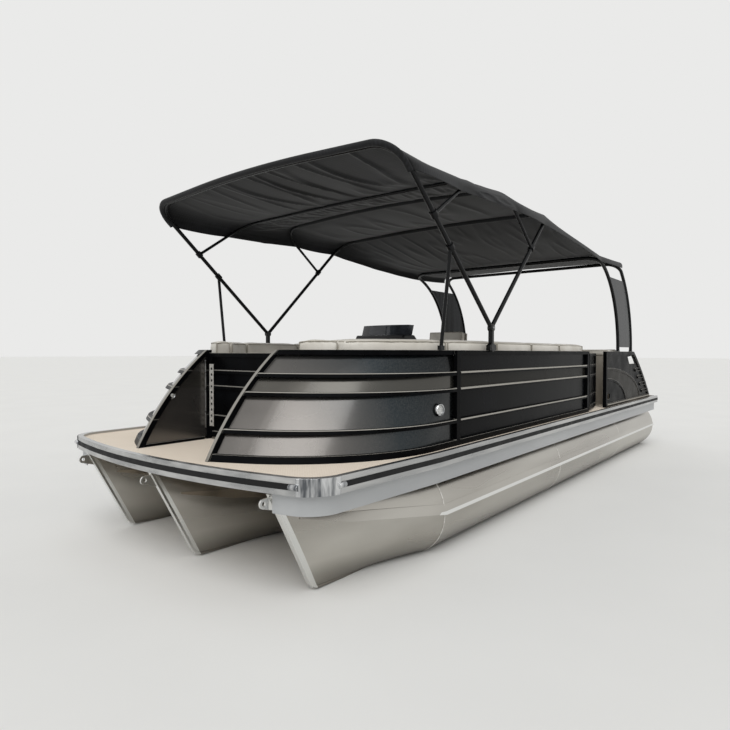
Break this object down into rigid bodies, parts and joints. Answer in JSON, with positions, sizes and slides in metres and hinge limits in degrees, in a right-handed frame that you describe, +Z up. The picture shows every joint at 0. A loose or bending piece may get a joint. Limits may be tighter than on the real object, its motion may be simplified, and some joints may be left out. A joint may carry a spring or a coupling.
{
  "type": "pontoon boat",
  "caption": "Tritoon deck boat: three aluminium pontoons, railed deck with raked curved bow fences, stern arch, stretched canopy and tilting, steering outboard.",
  "frame": {"origin": "on the waterline plane, on the centreline, amidships", "axes": "+X towards the bow, +Y to port, +Z up out of the water"},
  "size_m": [8.1899, 2.596, 3.122],
  "materials": {
    "pontoon_aluminium": "brushed",
    "deck_vinyl": "woven marine flooring",
    "frame_black": "satin powder coat",
    "bow_silver": "gloss metallic",
    "side_black": "gloss",
    "rail_aluminium": "anodised",
    "insert_rubber": "matte",
    "corner_chrome": "polished",
    "skirt_grey": "satin",
    "canopy_cloth": "woven acrylic",
    "seat_vinyl": "soft marine vinyl",
    "seat_base": "moulded",
    "helm_plastic": "moulded",
    "screen_smoke": "smoked",
    "motor_cowl": "painted",
    "motor_bracket": "marine enamel",
    "propeller_steel": "ground",
    "lamp_lens": "clear lens in a chrome ring",
    "plate_bright": "polished"
  },
  "bodies": {
    "hull": {"pontoon_port": "pontoon_aluminium", "pontoon_centre": "pontoon_aluminium", "pontoon_starboard": "pontoon_aluminium", "cross_members": "pontoon_aluminium", "deck": "deck_vinyl", "rub_rail": "rail_aluminium", "rub_insert": "insert_rubber", "corner_caps": "corner_chrome", "side_skirts": "skirt_grey", "bow_fence_port": "frame_black", "bow_fence_starboard": "frame_black", "bow_skin_port": "bow_silver", "bow_skin_starboard": "bow_silver", "side_fence_port": "frame_black", "side_fence_starboard": "frame_black", "side_skin_port": "side_black", "side_skin_starboard": "side_black", "stern_wing_port": "frame_black", "stern_wing_starboard": "frame_black", "bimini_front_bow": "frame_black", "bimini_front_brace": "frame_black", "bimini_rear_brace": "frame_black", "bimini_rear_bow": "frame_black", "bimini_brackets": "frame_black", "bimini_struts": "frame_black", "arch_front_hoop": "frame_black", "arch_rear_hoop": "frame_black", "arch_plates": "plate_bright", "canopy": "canopy_cloth", "bow_lounge_base_port": "seat_base", "bow_lounge_base_starboard": "seat_base", "bow_lounge_pads_port": "seat_vinyl", "bow_lounge_pads_starboard": "seat_vinyl", "stern_lounger_base_port": "seat_base", "stern_lounger_base_starboard": "seat_base", "stern_lounger_pads_port": "seat_vinyl", "stern_lounger_pads_starboard": "seat_vinyl", "helm_console": "helm_plastic", "windscreen": "screen_smoke", "chair_pedestal": "rail_aluminium", "motor_pod": "pontoon_aluminium", "clamp_bracket": "motor_bracket", "docking_lamps": "lamp_lens"},
    "bow_gate": {"bow_gate": "frame_black"},
    "side_gate": {"side_gate": "frame_black"},
    "helm_wheel": {"steering_wheel": "helm_plastic"},
    "helm_chair": {"chair_shell": "seat_base", "chair_pads": "seat_vinyl"},
    "tilt_bracket": {"swivel_bracket": "motor_bracket"},
    "motor": {"outboard": "motor_cowl"},
    "propeller": {"propeller": "propeller_steel"}
  },
  "joints": [
    {"name": "bow_gate_hinge", "type": "hinge", "parent": "hull", "child": "bow_gate", "pos_m": [2.858, -0.345, 1], "axis": [0, 0, 1], "range_deg": [0, 95]},
    {"name": "side_gate_hinge", "type": "hinge", "parent": "hull", "child": "side_gate", "pos_m": [-0.785, 1.164, 1], "axis": [0, 0, 1], "range_deg": [-10, 85]},
    {"name": "helm_wheel_turn", "type": "hinge", "parent": "hull", "child": "helm_wheel", "pos_m": [-0.262, -0.745, 1.302], "axis": [-0.8192, 0, 0.5736], "range_deg": [-540, 540]},
    {"name": "helm_chair_swivel", "type": "hinge", "parent": "hull", "child": "helm_chair", "pos_m": [-0.96, -0.745, 0.96], "axis": [0, 0, 1], "continuous": true},
    {"name": "motor_tilt", "type": "hinge", "parent": "hull", "child": "tilt_bracket", "pos_m": [-3.875, 0, 0.65], "axis": [0, 1, 0], "range_deg": [-4, 65]},
    {"name": "motor_steer", "type": "hinge", "parent": "tilt_bracket", "child": "motor", "pos_m": [-3.97, 0, 0.47], "axis": [0, 0, 1], "range_deg": [-30, 30]},
    {"name": "propeller_spin", "type": "hinge", "parent": "motor", "child": "propeller", "pos_m": [-4.385, 0, -0.3], "axis": [1, 0, 0], "continuous": true}
  ],
  "couplings": [
    {"joint": "helm_wheel_turn", "follows": "motor_steer", "ratio": -18}
  ]
}
